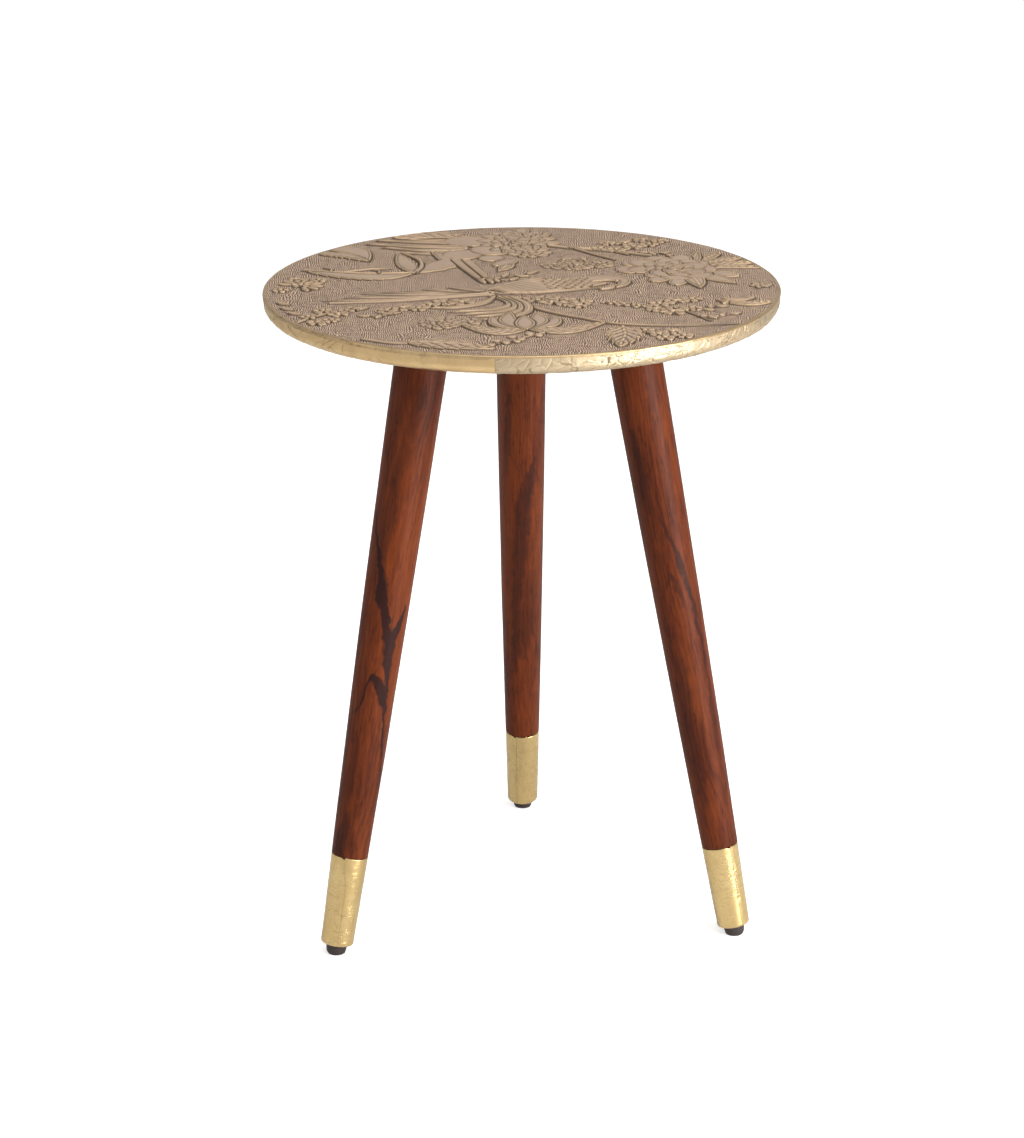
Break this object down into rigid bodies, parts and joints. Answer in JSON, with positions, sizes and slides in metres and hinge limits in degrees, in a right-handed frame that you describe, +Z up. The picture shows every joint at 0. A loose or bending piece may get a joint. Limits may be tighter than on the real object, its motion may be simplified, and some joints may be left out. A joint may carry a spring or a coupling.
{
  "type": "three-legged side table",
  "caption": "Round side table: a board clad in embossed brass sheet on splayed, tapered wooden legs that screw into slanted plates and end in brass ferrules and black glides.",
  "frame": {"origin": "on the floor under the middle of the round top", "axes": "+Z up; -Y is the front, where the two front legs stand on either side and the edge strips meet"},
  "size_m": [0.4, 0.4, 0.509],
  "materials": {
    "embossed_brass": "embossed sheet, brown antique patina, satin",
    "edge_brass": "thin hand-worked sheet, bright and scuffed",
    "satin_brass": "satin",
    "core_board": "dark stained board, matte",
    "leg_wood": "reddish brown hardwood, satin lacquer",
    "black_rubber": "matte",
    "zinc_steel": "zinc plated"
  },
  "bodies": {
    "top": {"top_core": "core_board", "embossed_top_sheet": "embossed_brass", "edge_strip_crinkled": "edge_brass", "edge_strip_smooth": "edge_brass", "leg_plate_right": "zinc_steel", "threaded_bush_right": "zinc_steel", "plate_screw_right_1": "zinc_steel", "plate_screw_right_2": "zinc_steel", "plate_screw_right_3": "zinc_steel", "plate_screw_right_4": "zinc_steel", "leg_plate_rear": "zinc_steel", "threaded_bush_rear": "zinc_steel", "plate_screw_rear_1": "zinc_steel", "plate_screw_rear_2": "zinc_steel", "plate_screw_rear_3": "zinc_steel", "plate_screw_rear_4": "zinc_steel", "leg_plate_left": "zinc_steel", "threaded_bush_left": "zinc_steel", "plate_screw_left_1": "zinc_steel", "plate_screw_left_2": "zinc_steel", "plate_screw_left_3": "zinc_steel", "plate_screw_left_4": "zinc_steel"},
    "washer_place_right": {"washer_right": "zinc_steel"},
    "leg_right_assembly": {"leg_right": "leg_wood", "ferrule_right": "satin_brass", "ferrule_pin_right_lower": "satin_brass", "ferrule_pin_right_upper": "satin_brass", "glide_right": "black_rubber", "glide_nail_right": "zinc_steel", "hanger_bolt_right": "zinc_steel"},
    "washer_place_rear": {"washer_rear": "zinc_steel"},
    "leg_rear_assembly": {"leg_rear": "leg_wood", "ferrule_rear": "satin_brass", "ferrule_pin_rear_lower": "satin_brass", "ferrule_pin_rear_upper": "satin_brass", "glide_rear": "black_rubber", "glide_nail_rear": "zinc_steel", "hanger_bolt_rear": "zinc_steel"},
    "washer_place_left": {"washer_left": "zinc_steel"},
    "leg_left_assembly": {"leg_left": "leg_wood", "ferrule_left": "satin_brass", "ferrule_pin_left_lower": "satin_brass", "ferrule_pin_left_upper": "satin_brass", "glide_left": "black_rubber", "glide_nail_left": "zinc_steel", "hanger_bolt_left": "zinc_steel"}
  },
  "joints": [
    {"name": "leg_right_travel", "type": "slide", "parent": "top", "child": "washer_place_right", "axis": [0.1714, -0.0778, -0.9821], "range_m": [0, 0.01]},
    {"name": "leg_right_unscrew", "type": "hinge", "parent": "washer_place_right", "child": "leg_right_assembly", "pos_m": [0.0833, -0.04869, 0.4833], "axis": [0.1714, -0.0778, -0.9821], "range_deg": [0, 2880]},
    {"name": "leg_rear_travel", "type": "slide", "parent": "top", "child": "washer_place_rear", "axis": [-0.0007, 0.1882, -0.9821], "range_m": [0, 0.01]},
    {"name": "leg_rear_unscrew", "type": "hinge", "parent": "washer_place_rear", "child": "leg_rear_assembly", "pos_m": [-0.00032, 0.08057, 0.4833], "axis": [-0.0007, 0.1882, -0.9821], "range_deg": [0, 2880]},
    {"name": "leg_left_travel", "type": "slide", "parent": "top", "child": "washer_place_left", "axis": [-0.1531, -0.1096, -0.9821], "range_m": [0, 0.01]},
    {"name": "leg_left_unscrew", "type": "hinge", "parent": "washer_place_left", "child": "leg_left_assembly", "pos_m": [-0.07437, -0.06415, 0.4833], "axis": [-0.1531, -0.1096, -0.9821], "range_deg": [0, 2880]}
  ],
  "couplings": [
    {"joint": "leg_right_unscrew", "follows": "leg_right_travel", "rad_per_m": 5026.5},
    {"joint": "leg_rear_unscrew", "follows": "leg_rear_travel", "rad_per_m": 5026.5},
    {"joint": "leg_left_unscrew", "follows": "leg_left_travel", "rad_per_m": 5026.5}
  ]
}
